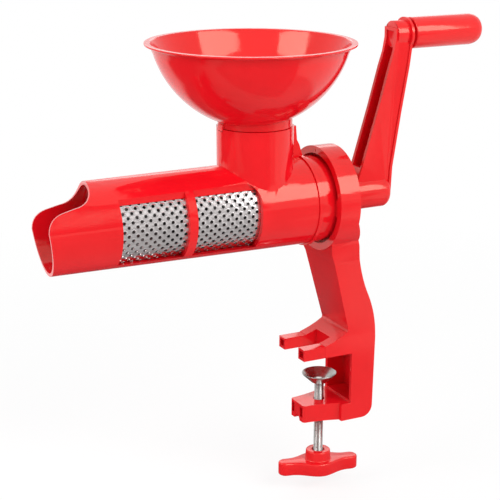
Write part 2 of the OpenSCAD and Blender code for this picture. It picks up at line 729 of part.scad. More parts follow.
module wing_knob() {
    color(red) translate([screw_x, 0, 0]) difference() {
        union() {
            rotate([0, 0, -12]) translate([0, 0, wing_z0]) linear_extrude(wing_t) knob_plan();
            translate([0, 0, wing_z0 + 1]) cylinder(h = knob_z1 - wing_z0 - 1, r1 = knob_hub_r + 1, r2 = knob_hub_r);
        }
        translate([0, 0, wing_z0 + 2]) cylinder(h = 80, r = screw_r + set_gap);
        translate([0, 0, wing_z0 + 3 - set_gap])
            cylinder(h = bolt_head_h + 2 * set_gap, r = (6.5 + set_gap) / cos(30), $fn = 6);
    }
}

stand_frame();
clamp_nut();
shaft_bush();
thrust_washer();
housing();
sieve_cylinder();
shaft_seal();
hopper();
auger();
drive_shaft();
retaining_clip();
crank_arm();
crank_washer();
crank_screw();
grip_pin();
grip_nut();
grip_washer();
grip_handle();
clamp_cup();
clamp_screw();
cup_washer();
wing_knob();
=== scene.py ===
"""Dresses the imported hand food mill: its visible surfaces, finishes, studio and camera.

Every size is in millimetres unless a docstring says metres; meshes are written in metres in the
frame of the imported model, where the tube runs along X, +Z is up and the table seat is at the origin.
"""

import logging
import math
from dataclasses import dataclass, field
from enum import Enum
from typing import Sequence

import bmesh
import bpy
import numpy as np
from mathutils import Matrix, Vector


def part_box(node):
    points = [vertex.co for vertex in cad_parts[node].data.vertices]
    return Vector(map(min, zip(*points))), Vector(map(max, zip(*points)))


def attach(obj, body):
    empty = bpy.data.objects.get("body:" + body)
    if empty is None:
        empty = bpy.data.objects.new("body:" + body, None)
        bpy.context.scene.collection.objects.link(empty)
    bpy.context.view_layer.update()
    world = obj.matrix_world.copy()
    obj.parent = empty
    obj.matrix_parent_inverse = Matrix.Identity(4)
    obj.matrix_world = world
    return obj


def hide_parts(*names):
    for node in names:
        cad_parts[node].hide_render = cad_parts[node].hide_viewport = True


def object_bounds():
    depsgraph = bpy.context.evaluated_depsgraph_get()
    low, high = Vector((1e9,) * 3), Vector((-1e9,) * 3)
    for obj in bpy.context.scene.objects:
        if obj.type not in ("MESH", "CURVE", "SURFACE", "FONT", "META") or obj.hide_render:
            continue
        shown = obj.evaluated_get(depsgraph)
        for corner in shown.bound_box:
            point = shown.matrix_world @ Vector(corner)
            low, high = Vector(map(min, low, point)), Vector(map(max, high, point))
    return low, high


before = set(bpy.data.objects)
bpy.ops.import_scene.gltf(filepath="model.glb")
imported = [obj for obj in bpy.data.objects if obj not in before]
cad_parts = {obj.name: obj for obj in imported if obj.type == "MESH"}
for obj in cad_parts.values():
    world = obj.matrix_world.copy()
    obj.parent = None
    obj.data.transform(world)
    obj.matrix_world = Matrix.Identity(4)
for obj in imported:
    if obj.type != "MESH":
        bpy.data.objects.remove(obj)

LOG = logging.getLogger("food_mill")
MM = 0.001
CAD_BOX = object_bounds()

Rows = np.ndarray
Shell = tuple[Rows, Rows]
Place = tuple[float, float, float]
Colour = tuple[float, float, float, float]
Socket, Node, Tree = bpy.types.NodeSocket, bpy.types.Node, bpy.types.NodeTree
Material, Mesh, Piece = bpy.types.Material, bpy.types.Mesh, bpy.types.Object


class Along(Enum):
    """The axis that a turned piece runs along."""

    X = "x"
    Z = "z"


# ---- numbers shared by several pieces ----

AXIS_H = 131.5  # height of the tube's axis
BOWL_X = -76.5  # station of the bowl's axis
NECK_X = -72.7  # station of the chimney's axis
SCREW_X = -11.0  # station of the clamp screw
CLOSE = 1e-6  # metres; nearer points are one


# ---- meshes from grids of points ----


def srgb(code: str) -> Colour:
    """Turns an sRGB hex colour into linear red, green, blue and an alpha of one.

    Args:
        code: six hex digits after a hash sign.

    Returns:
        The linear colour that a shader socket takes.
    """
    value = np.array([int(code[i : i + 2], 16) for i in (1, 3, 5)]) / 255.0
    linear = np.where(value <= 0.04045, value / 12.92, ((value + 0.055) / 1.055) ** 2.4)
    return (*[float(c) for c in linear], 1.0)


def signed_volume(points: Rows, quads: Rows) -> float:
    """Sums the tetrahedra between the origin and every triangle: positive when faces point outwards.

    Args:
        points: vertices, one row each.
        quads: four vertex numbers a row; a triangle repeats its last number.

    Returns:
        The enclosed volume with its sign.
    """
    a, b, c, d = (points[quads[:, k]] for k in range(4))
    first = np.einsum("ij,ij->i", a, np.cross(b, c))
    second = np.einsum("ij,ij->i", a, np.cross(c, d))
    return float((first + second).sum() / 6.0)


def grid_quads(rows: int, cols: int, wrap_rows: bool, wrap_cols: bool) -> Rows:
    """Numbers the quads of a grid of points stored row by row.

    Args:
        rows: number of rows of points.
        cols: number of points in a row.
        wrap_rows: joins the last row to the first.
        wrap_cols: joins the last point of each row to its first.

    Returns:
        One quad of vertex numbers a row.
    """
    i = np.arange(rows if wrap_rows else rows - 1)[:, None]
    j = np.arange(cols if wrap_cols else cols - 1)[None, :]
    i2, j2 = (i + 1) % rows, (j + 1) % cols
    corners = np.broadcast_arrays(i * cols + j, i * cols + j2, i2 * cols + j2, i2 * cols + j)
    return np.stack([c.ravel() for c in corners], axis=1)


def poled_quads(rows: int, cols: int) -> Rows:
    """Numbers the quads of a tube of points whose first and last row are each one repeated point."""
    quads, last = grid_quads(rows, cols, False, True), (rows - 1) * cols
    return np.where(quads >= last, last, np.where(quads < cols, 0, quads))


def joined(parts: Sequence[Shell]) -> Shell:
    """Stacks several shells into one.

    Args:
        parts: pairs of points and quads.

    Returns:
        All points, and all quads renumbered to match.
    """
    starts = np.cumsum([0, *(len(points) for points, _ in parts[:-1])])
    quads = [quads + start for (_, quads), start in zip(parts, starts)]
    return np.vstack([points for points, _ in parts]), np.vstack(quads)


def alike(points: Rows, quads: Rows) -> Shell:
    """Makes one shell of grids of points that are alike, (grids, points, 3), and one grid's quads."""
    starts = np.arange(len(points))[:, None, None] * points.shape[1]
    return points.reshape(-1, 3), (quads + starts).reshape(-1, 4)


def put(name: str, data: bpy.types.ID) -> Piece:
    """Makes an object and links it to the scene.

    Args:
        name: the object's name.
        data: its mesh, lamp or camera.

    Returns:
        The object.
    """
    piece = bpy.data.objects.new(name, data)
    bpy.context.scene.collection.objects.link(piece)
    return piece


def skin(name: str, parts: Sequence[Shell], angle: float = 32.0) -> Piece:
    """Makes one smooth-shaded object out of closed shells, each turned to face outwards.

    Args:
        name: the object's name.
        parts: pairs of points in millimetres and quads.
        angle: edges sharper than this many degrees stay crisp.

    Returns:
        The new object, linked to the scene, with its place in its mesh.
    """
    outward = [(p, q if signed_volume(p, q) >= 0 else q[:, ::-1]) for p, q in parts]
    points, quads = joined(outward)
    faces = [list(dict.fromkeys(q)) for q in quads.tolist()]
    mesh = bpy.data.meshes.new(name)
    mesh.from_pydata((points * MM).tolist(), [], [f for f in faces if len(f) > 2])
    mesh.validate()
    finish_shading(mesh, angle)
    return put(name, mesh)


def finish_shading(mesh: Mesh, angle: float) -> None:
    """Smooths a mesh and keeps its sharp edges crisp.

    Args:
        mesh: the mesh, changed in place.
        angle: edges sharper than this many degrees stay crisp.
    """
    mesh.polygons.foreach_set("use_smooth", np.ones(len(mesh.polygons), dtype=bool))
    mesh.set_sharp_from_angle(angle=math.radians(angle))
    mesh.update()


def merge_points(mesh: Mesh, near: float, flat: float = 0.0) -> None:
    """Merges a mesh's doubled points, drops the faces that collapse and joins those that lie flat.

    Args:
        mesh: the mesh, changed in place.
        near: points within this many metres become one.
        flat: neighbours at less than this many degrees become one face; 0 joins none.
    """
    work = bmesh.new()
    work.from_mesh(mesh)
    bmesh.ops.remove_doubles(work, verts=work.verts, dist=near)
    bmesh.ops.dissolve_degenerate(work, edges=work.edges, dist=CLOSE)
    if flat > 0:
        bmesh.ops.dissolve_limit(work, angle_limit=math.radians(flat), verts=work.verts, edges=work.edges)
    work.to_mesh(mesh)
    work.free()


def turned(profile: Rows, centre: Sequence[float], along: Along, segments: int = 96) -> Shell:
    """Carries a closed loop of (radius, station) points round an axis.

    A point at angle t lies at centre + station along the axis + radius times (cos t, sin t) across it.
    A loop whose two ends lie on the axis closes in two poles there, any other loop closes on itself.

    Args:
        profile: one (radius, station) a row, in order.
        centre: a point on the axis, from which stations are counted.
        along: the axis.
        segments: number of steps round.

    Returns:
        Points and quads.
    """
    t = np.linspace(0.0, 2.0 * np.pi, segments, endpoint=False)
    radius, station = profile[:, 0][:, None], profile[:, 1][:, None]
    u, v, w = radius * np.cos(t), radius * np.sin(t), np.broadcast_to(station, (len(profile), segments))
    across = (w, u, v) if along is Along.X else (u, v, w)
    points = np.stack(across, axis=2).reshape(-1, 3) + np.asarray(centre, float)
    if profile[0, 0] < 1e-9 and profile[-1, 0] < 1e-9:
        return points, poled_quads(len(profile), segments)
    return points, grid_quads(len(profile), segments, True, True)


def rounded_loop(*corners: Sequence[float], steps: int = 5) -> Rows:
    """Rounds the corners of a loop of (x, y, radius) points with true arcs.

    Each corner with a radius is replaced by the arc that touches both of its sides. Where a side is
    too short for that, the arc shrinks to reach just under half of it.

    Args:
        corners: corner points with their rounding radius; 0 keeps a corner.
        steps: number of steps in each arc.

    Returns:
        One (x, y) a row.
    """
    made: list[Rows] = []
    count = len(corners)
    for k, (*_, radius) in enumerate(corners):
        before, here, after = (np.array(corners[(k + d) % count][:2], float) for d in (-1, 0, 1))
        if radius <= 0:
            made.append(here[None, :])
            continue
        sides = [np.linalg.norm(before - here), np.linalg.norm(after - here)]
        into, out = (before - here) / sides[0], (after - here) / sides[1]
        half = math.acos(float(np.clip(into @ out, -1, 1))) / 2.0
        reach = min(radius / math.tan(half), 0.49 * sides[0], 0.49 * sides[1])
        middle = here + (into + out) / np.linalg.norm(into + out) * reach / math.cos(half)
        start, end = here + into * reach - middle, here + out * reach - middle
        a0 = math.atan2(start[1], start[0])
        turn = (math.atan2(end[1], end[0]) - a0 + math.pi) % (2 * math.pi) - math.pi
        angles = a0 + turn * np.linspace(0, 1, steps + 1)
        made.append(middle + np.linalg.norm(start) * np.stack([np.cos(angles), np.sin(angles)], axis=1))
    return np.vstack(made)


def prism(outline: Rows, z0: float, z1: float, edge: float) -> Shell:
    """Stands a closed outline up between two heights, with rounded upper and lower edges.

    Row k of the grid is the outline moved inwards by edge * (1 - sin a) at a height that is
    edge * (1 - cos a) from the end, for angles a from the flat end round to the side.

    Args:
        outline: one (x, y) a row, counter-clockwise.
        z0: lower height.
        z1: upper height.
        edge: radius of the rounded edges.

    Returns:
        Points and quads, closed with a pole in the middle of each end.
    """
    tangent = np.roll(outline, -1, axis=0) - np.roll(outline, 1, axis=0)
    inwards = np.stack([-tangent[:, 1], tangent[:, 0]], axis=1) / np.linalg.norm(tangent, axis=1)[:, None]
    a = np.linspace(0, np.pi / 2, 5)
    inset, drop = edge * (1 - np.sin(a)), edge * (1 - np.cos(a))
    pairs = list(zip(inset, drop))
    rings = [(i, z0 + d) for i, d in pairs] + [(i, z1 - d) for i, d in reversed(pairs)]
    rows = [np.insert(outline + i * inwards, 2, z, axis=1) for i, z in rings]
    middle = np.broadcast_to(outline.mean(axis=0), outline.shape)
    first, last = (np.insert(middle, 2, z, axis=1) for z in (z0, z1))
    points = np.vstack([first, (rows[0] + 2 * first) / 3, *rows, (rows[-1] + 2 * last) / 3, last])
    return points, poled_quads(len(points) // len(outline), len(outline))


# ---- finishes ----


def add_node(tree: Tree, kind: str, settings: dict | None = None, **links: Node | Socket) -> Node:
    """Adds a shader node with its settings and the links into it.

    Args:
        tree: the material's node tree.
        kind: Blender's name for the node, without its leading ShaderNode.
        settings: attributes of the node, default values of its inputs by socket name or number, and
            the stops of a colour ramp as pairs of position and linear colour.
        links: what feeds its inputs, each a socket or a node for its first output. An input is named
            with underscores for spaces, or as n and its number.

    Returns:
        The new node.
    """
    node = tree.nodes.new("ShaderNode" + kind)
    for key, value in (settings or {}).items():
        if key == "stops":
            for element, stop in zip(node.color_ramp.elements, value):
                element.position, element.color = stop
        elif isinstance(key, int) or key in node.inputs:
            node.inputs[key].default_value = value
        else:
            setattr(node, key, value)
    for key, source in links.items():
        numbered = key[0] == "n" and key[1:].isdigit()
        entry = node.inputs[int(key[1:]) if numbered else key.replace("_", " ")]
        tree.links.new(source if isinstance(source, Socket) else source.outputs[0], entry)
    return node


def grey(value: float) -> Colour:
    """A neutral linear colour."""
    return (value, value, value, 1.0)


def per_metre(size_mm: float) -> float:
    """The scale at which noise has blotches about size_mm across."""
    return 1.0 / (size_mm * MM)


def new_material(name: str) -> Material:
    """Makes a material.

    Args:
        name: the material's name.

    Returns:
        The material, with an empty node tree.
    """
    material = bpy.data.materials.new(name)
    material.use_nodes = True
    material.node_tree.nodes.clear()
    return material


@dataclass(frozen=True)
class Finish:
    """A surface finish that fills a new material's node tree."""

    name: str

    def build(self) -> Material:
        """Makes the material and lets the finish draw its nodes.

        Returns:
            The material.
        """
        material = new_material(self.name)
        tree = material.node_tree
        place = add_node(tree, "TexCoord").outputs["Object"]
        add_node(tree, "OutputMaterial", Surface=self.shader(tree, place))
        return material

    def shader(self, tree: Tree, place: Socket) -> Node:
        """Draws the finish; each one has its own.

        Args:
            tree: the material's node tree.
            place: object coordinates in metres.

        Returns:
            The Principled shader.
        """
        raise NotImplementedError


@dataclass(frozen=True)
class MouldedPolypropylene(Finish):
    """Injection-moulded polypropylene: an even pigment, a polished mould's gloss and faint sink ripples."""

    colour: str = "#e2121e"
    deep: str = "#db0f1b"
    gloss: float = 0.1
    tint: Colour = (1.0, 0.98, 0.76, 1.0)
    cloud_mm: float = 30.0
    smear_mm: float = 14.0
    ripple_mm: float = 9.0
    grain_mm: float = 0.9

    def shader(self, tree: Tree, place: Socket) -> Node:
        """Draws pigment clouds, smears in the gloss, and ripples and grain as bump.

        Args:
            tree: the material's node tree.
            place: object coordinates in metres.

        Returns:
            The Principled shader.
        """
        clouds = add_node(tree, "TexNoise", {"Scale": per_metre(self.cloud_mm), "Detail": 3.0}, Vector=place)
        stops = (0.3, srgb(self.deep)), (0.7, srgb(self.colour))
        pigment = add_node(tree, "ValToRGB", {"stops": stops}, Fac=clouds)
        smear = add_node(tree, "TexNoise", {"Scale": per_metre(self.smear_mm), "Detail": 4.0}, Vector=place)
        stops = (0.25, grey(self.gloss - 0.03)), (0.8, grey(self.gloss + 0.05))
        gloss = add_node(tree, "ValToRGB", {"stops": stops}, Fac=smear)
        ripple = add_node(tree, "TexNoise", {"Scale": per_metre(self.ripple_mm), "Detail": 2.0}, Vector=place)
        grain = add_node(tree, "TexNoise", {"Scale": per_metre(self.grain_mm), "Detail": 3.0}, Vector=place)
        broad = add_node(tree, "Bump", {"Strength": 0.35, "Distance": 0.0002}, Height=ripple)
        fine = add_node(tree, "Bump", {"Strength": 0.12, "Distance": 0.00003}, Height=grain, Normal=broad)
        constants = {
            "IOR": 1.49,
            "Specular Tint": self.tint,
            "Subsurface Weight": 0.05,
            "Subsurface Radius": (1.0, 0.25, 0.2),
            "Subsurface Scale": 0.0015,
        }
        return add_node(tree, "BsdfPrincipled", constants, Base_Color=pigment, Roughness=gloss, Normal=fine)


@dataclass(frozen=True)
class StainlessSheet(Finish):
    """Cold-rolled stainless sheet: a fine grain that runs along the tube and a soft, bright sheen."""

    colour: str = "#f6f0f0"
    dull: str = "#c4bcbb"
    rough: float = 0.22
    grain_mm: float = 0.35
    stretch: float = 40.0

    def shader(self, tree: Tree, place: Socket) -> Node:
        """Draws grain that is longer along X than across, in colour, roughness and bump.

        Args:
            tree: the material's node tree.
            place: object coordinates in metres.

        Returns:
            The Principled shader.
        """
        stretched = add_node(tree, "Mapping", {"Scale": (1.0 / self.stretch, 1.0, 1.0)}, Vector=place)
        grain = {"Scale": per_metre(self.grain_mm), "Detail": 2.0}
        lines = add_node(tree, "TexNoise", grain, Vector=stretched)
        stops = (0.3, srgb(self.dull)), (0.7, srgb(self.colour))
        tone = add_node(tree, "ValToRGB", {"stops": stops}, Fac=lines)
        stops = (0.3, grey(self.rough + 0.08)), (0.7, grey(self.rough - 0.05))
        rough = add_node(tree, "ValToRGB", {"stops": stops}, Fac=lines)
        bump = add_node(tree, "Bump", {"Strength": 0.15, "Distance": 0.00002}, Height=lines)
        metal = {"Metallic": 1.0}
        return add_node(tree, "BsdfPrincipled", metal, Base_Color=tone, Roughness=rough, Normal=bump)


@dataclass(frozen=True)
class ZincPlate(Finish):
    """Bright zinc on cold-headed steel: a cool grey with cloudy patches where the plating is thicker."""

    colour: str = "#bbbab8"
    cloud: str = "#a8a6a3"
    rough: float = 0.22
    cloud_mm: float = 2.5
    pit_mm: float = 0.4

    def shader(self, tree: Tree, place: Socket) -> Node:
        """Draws clouds in the colour, and pits in the roughness and the bump.

        Args:
            tree: the material's node tree.
            place: object coordinates in metres.

        Returns:
            The Principled shader.
        """
        clouds = add_node(tree, "TexNoise", {"Scale": per_metre(self.cloud_mm), "Detail": 3.0}, Vector=place)
        stops = (0.3, srgb(self.cloud)), (0.65, srgb(self.colour))
        tone = add_node(tree, "ValToRGB", {"stops": stops}, Fac=clouds)
        pits = add_node(tree, "TexNoise", {"Scale": per_metre(self.pit_mm), "Detail": 2.0}, Vector=place)
        stops = (0.2, grey(self.rough - 0.06)), (0.8, grey(self.rough + 0.12))
        rough = add_node(tree, "ValToRGB", {"stops": stops}, Fac=pits)
        bump = add_node(tree, "Bump", {"Strength": 0.2, "Distance": 0.00003}, Height=pits)
        metal = {"Metallic": 1.0}
        return add_node(tree, "BsdfPrincipled", metal, Base_Color=tone, Roughness=rough, Normal=bump)


@dataclass(frozen=True)
class MouldedAcetal(Finish):
    """Moulded acetal: it lets a little light in and wears to a satin. Unpigmented, it is a milky white."""

    colour: str = "#ecebe4"
    shade: str = "#dedcd2"
    cloud_mm: float = 12.0
    rub_mm: float = 5.0

    def shader(self, tree: Tree, place: Socket) -> Node:
        """Draws flow clouds in the colour and rubbed patches in the roughness.

        Args:
            tree: the material's node tree.
            place: object coordinates in metres.

        Returns:
            The Principled shader.
        """
        clouds = add_node(tree, "TexNoise", {"Scale": per_metre(self.cloud_mm), "Detail": 3.0}, Vector=place)
        stops = (0.3, srgb(self.shade)), (0.7, srgb(self.colour))
        tone = add_node(tree, "ValToRGB", {"stops": stops}, Fac=clouds)
        rubs = add_node(tree, "TexNoise", {"Scale": per_metre(self.rub_mm), "Detail": 3.0}, Vector=place)
        rough = add_node(tree, "ValToRGB", {"stops": ((0.2, grey(0.32)), (0.8, grey(0.48)))}, Fac=rubs)
        constants = {
            "Subsurface Weight": 0.15,
            "Subsurface Radius": (1.0, 0.9, 0.8),
            "Subsurface Scale": 0.002,
        }
        return add_node(tree, "BsdfPrincipled", constants, Base_Color=tone, Roughness=rough)


@dataclass(frozen=True)
class NitrileRubber(Finish):
    """Moulded nitrile rubber: near black, matt, with a fine mould grain."""

    dark: str = "#141414"
    pale: str = "#242424"
    grain_mm: float = 0.3

    def shader(self, tree: Tree, place: Socket) -> Node:
        """Draws grain in the colour and the bump.

        Args:
            tree: the material's node tree.
            place: object coordinates in metres.

        Returns:
            The Principled shader.
        """
        grain = add_node(tree, "TexNoise", {"Scale": per_metre(self.grain_mm), "Detail": 2.0}, Vector=place)
        stops = (0.3, srgb(self.dark)), (0.7, srgb(self.pale))
        tone = add_node(tree, "ValToRGB", {"stops": stops}, Fac=grain)
        bump = add_node(tree, "Bump", {"Strength": 0.2, "Distance": 0.00003}, Height=grain)
        return add_node(tree, "BsdfPrincipled", {"Roughness": 0.7}, Base_Color=tone, Normal=bump)


def finished(finish: Finish) -> Material:
    """A dataclass field that builds its own material."""
    return field(default_factory=finish.build)


@dataclass
class Palette:
    """The mill's finishes, each made once."""

    red: Material = finished(MouldedPolypropylene("red_polypropylene"))
    sheet: Material = finished(StainlessSheet("stainless_sheet"))
    bar: Material = finished(StainlessSheet("stainless_bar"))
    zinc: Material = finished(ZincPlate("bright_zinc"))
    acetal: Material = finished(MouldedAcetal("natural_acetal"))
    # The auger's acetal is dark grey as painted shade: it stands for the darkness inside the tube seen
    # through the sieve's holes.
    auger: Material = finished(MouldedAcetal("auger_acetal_painted_shade", "#5d5856", "#504c4a"))
    rubber: Material = finished(NitrileRubber("nitrile_rubber"))


def dress(piece: Piece, material: Material, body: str, *nodes: str) -> None:
    """Gives a new piece its finish, seats it on its body and lets it stand for its CAD nodes.

    Args:
        piece: the new object.
        material: its finish.
        body: the body it rides on.
        nodes: the CAD nodes it replaces.
    """
    piece.data.materials.clear()
    piece.data.materials.append(material)
    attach(piece, body)
    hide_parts(*nodes)
    LOG.info("%s: %d faces on %s", piece.name, len(piece.data.polygons), body)


def moulding(node: str, name: str, edge_mm: float, material: Material, body: str) -> None:
    """Copies a CAD node's solid, merges its loose triangles, breaks its edges and dresses it.

    Args:
        node: the CAD node.
        name: the new piece's name.
        edge_mm: width of the broken edges, cut by a live Bevel modifier.
        material: its finish.
        body: the body it rides on.
    """
    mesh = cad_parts[node].data.copy()
    mesh.name = name
    piece = put(name, mesh)
    merge_points(mesh, 2 * CLOSE, flat=0.3)
    finish_shading(mesh, 35.0)
    bevel = piece.modifiers.new("broken_edges", "BEVEL")
    bevel.width = edge_mm * MM
    bevel.segments = 2
    bevel.limit_method = "ANGLE"
    bevel.angle_limit = math.radians(30.0)
    bevel.harden_normals = True
    bevel.use_clamp_overlap = True
    dress(piece, material, body, node)


# ---- sub-assemblies ----


@dataclass
class Hopper:
    """The bowl, its lip, its neck and the two ears that seat in the chimney's notches."""

    rim_r: float = 82.5
    rim_z: float = 261.5
    lip_w: float = 5.2
    lip_t: float = 2.0
    wall: float = 1.8
    bowl_arc: float = 83.2
    flare: float = 1.9
    flare_h: float = 16.0
    shoulder_r: float = 29.3
    shoulder_z: float = 196.25
    plug_r: float = 27.5
    plug_z: float = 174.0
    throat_r: float = 25.4
    ear_r: float = 30.4
    ear_half: float = 4.5
    wall_steps: int = 48
    columns: int = 192

    @property
    def turns(self) -> Rows:
        """Azimuths of the skin's columns."""
        return np.linspace(0, 2 * np.pi, self.columns, endpoint=False)

    def arc_centre(self) -> Rows:
        """The point round which the bowl's outside is struck.

        Returns:
            Its (radius, height).
        """
        top = np.array([self.rim_r - self.lip_w, self.rim_z - self.lip_t])
        foot = np.array([self.shoulder_r - NECK_X + BOWL_X, self.shoulder_z + 4.0])
        step = top - foot
        across = np.array([-step[1], step[0]]) / np.linalg.norm(step)
        return (top + foot) / 2 + across * math.sqrt(self.bowl_arc**2 - (np.linalg.norm(step) / 2) ** 2)

    def wall_rows(self, arc: float, z_top: float, neck_r: float, flare: float) -> Rows:
        """Points of one side of the bowl's wall, from under its lip down to where the neck meets it.

        At turn t the neck's circle, of radius n about NECK_X, lies at distance
        q(t) = |(NECK_X - BOWL_X + n cos t, n sin t)| from the bowl's axis. The wall's arc angle runs
        from the top's to -acos((q - c) / arc) and its azimuth from t to that point's own. Over the
        flare's height the radius grows by flare * s^2, where s runs from 0 to 1.

        Args:
            arc: radius of the wall's arc.
            z_top: height of the first row.
            neck_r: radius of the neck's circle.
            flare: how far the wall leaves its arc at the rim.

        Returns:
            Points as (rows, columns, 3).
        """
        centre_r, centre_z = self.arc_centre()
        foot_x, foot_y = NECK_X - BOWL_X + neck_r * np.cos(self.turns), neck_r * np.sin(self.turns)
        drift = (np.arctan2(foot_y, foot_x) - self.turns + np.pi) % (2 * np.pi) - np.pi
        a_top = math.asin((z_top - centre_z) / arc)
        a_foot = -np.arccos((np.hypot(foot_x, foot_y) - centre_r) / arc)
        share = np.linspace(0, 1, self.wall_steps)[:, None]
        angle = a_top + (a_foot - a_top) * share
        azimuth = self.turns + drift * share**1.5
        z = centre_z + arc * np.sin(angle)
        rise = np.clip((z - self.rim_z + self.flare_h) / self.flare_h, 0.0, 1.0)
        r = centre_r + arc * np.cos(angle) + flare * rise**2
        return np.stack([BOWL_X + r * np.cos(azimuth), r * np.sin(azimuth), z], axis=-1)

    def hoops(self, loop: Rows, x: float) -> Rows:
        """Carries points round the vertical: x + r cos t, r sin t and z at turn t.

        Args:
            loop: one (radius, height) a row.
            x: station of the axis.

        Returns:
            Points as (rows, columns, 3).
        """
        radius, height = loop[:, :1], loop[:, 1:]
        across = x + radius * np.cos(self.turns), radius * np.sin(self.turns)
        return np.stack(np.broadcast_arrays(*across, height), axis=-1)

    def shell(self) -> Shell:
        """One closed skin: lip, bowl outside, neck and plug about the chimney's axis, bowl inside.

        Returns:
            Points and quads.
        """
        rim, top, shoulder = self.rim_r, self.rim_z, self.shoulder_z
        lip = rounded_loop(
            (rim - 6.45, top - 4.0, 0), (rim - 4.8, top, 1.5), (rim - 0.2, top, 0.4),
            (rim, top - 1.3, 0.6), (rim - 1.6, top - 2.0, 0.8), (rim - 4.4, top - 2.6, 1.6),
            (rim - 6.0, top - 6.2, 0),
        )
        neck = rounded_loop(
            (self.shoulder_r, shoulder + 3.6, 0), (self.shoulder_r, shoulder, 0.4),
            (self.plug_r, shoulder, 0.3), (self.plug_r, self.plug_z, 0.8),
            (self.throat_r, self.plug_z, 0.5), (self.throat_r, shoulder + 3.0, 0),
        )
        outside = self.wall_rows(self.bowl_arc, top - 8.0, self.shoulder_r, 0.0)
        inside = self.wall_rows(self.bowl_arc - self.wall, top - 5.6, self.throat_r + 0.3, self.flare)
        rows = np.concatenate([self.hoops(lip, BOWL_X), outside, self.hoops(neck, NECK_X), inside[::-1]])
        return rows.reshape(-1, 3), grid_quads(len(rows), self.columns, True, True)

    def ears(self) -> list[Shell]:
        """Two rounded blocks at the neck, along X, as prisms about the vertical.

        Returns:
            Points and quads of each.
        """
        x0, x1, y = self.throat_r + 0.7, self.ear_r, self.ear_half
        z0, z1 = self.shoulder_z - 2.0, self.shoulder_z + 3.2
        block = rounded_loop((x0, -y, 0), (x1, -y, 0.8), (x1, y, 0.8), (x0, y, 0))
        return [prism(block * side + [NECK_X, 0.0], z0, z1, 0.5) for side in (-1, 1)]

    def build(self, palette: Palette) -> None:
        """Makes the bowl's skin and its ears and dresses them."""
        dress(skin("hopper_bowl", [self.shell(), *self.ears()]), palette.red, "hopper", "hopper")


